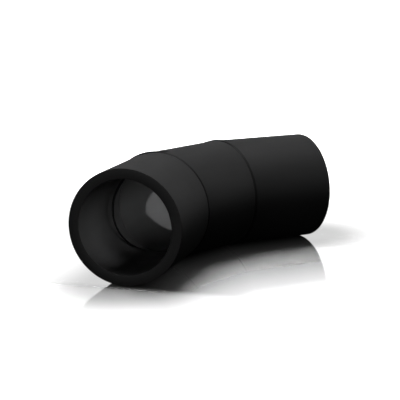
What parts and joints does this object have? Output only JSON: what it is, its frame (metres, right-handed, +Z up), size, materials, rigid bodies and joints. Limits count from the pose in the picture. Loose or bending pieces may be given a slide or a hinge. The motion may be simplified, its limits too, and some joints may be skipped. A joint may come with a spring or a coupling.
{
  "type": "segmented pipe elbow",
  "caption": "Black polyethylene pressure pipe elbow of 45 degrees, fabricated from mitred lengths of thick-walled pipe joined by butt fusion, with plain ends.",
  "frame": {"origin": "on the ground under the centre of the bounding box, with the elbow lying flat on its outer beads", "axes": "+X is the direction of the flow in the middle length, from inlet to outlet; +Y points to the outside of the bend; +Z is up, square to the plane of the bend"},
  "size_m": [0.3284, 0.1452, 0.112],
  "materials": {
    "pipe": "extruded black polyethylene, satin, with fine die lines along the pipe",
    "fusion_bead": "re-melted black polyethylene, smooth rolled surface"
  },
  "bodies": {
    "root": {"inlet_segment": "pipe", "middle_segment": "pipe", "outlet_segment": "pipe", "inlet_joint_outer_bead": "fusion_bead", "inlet_joint_inner_bead": "fusion_bead", "outlet_joint_outer_bead": "fusion_bead", "outlet_joint_inner_bead": "fusion_bead"}
  },
  "joints": []
}
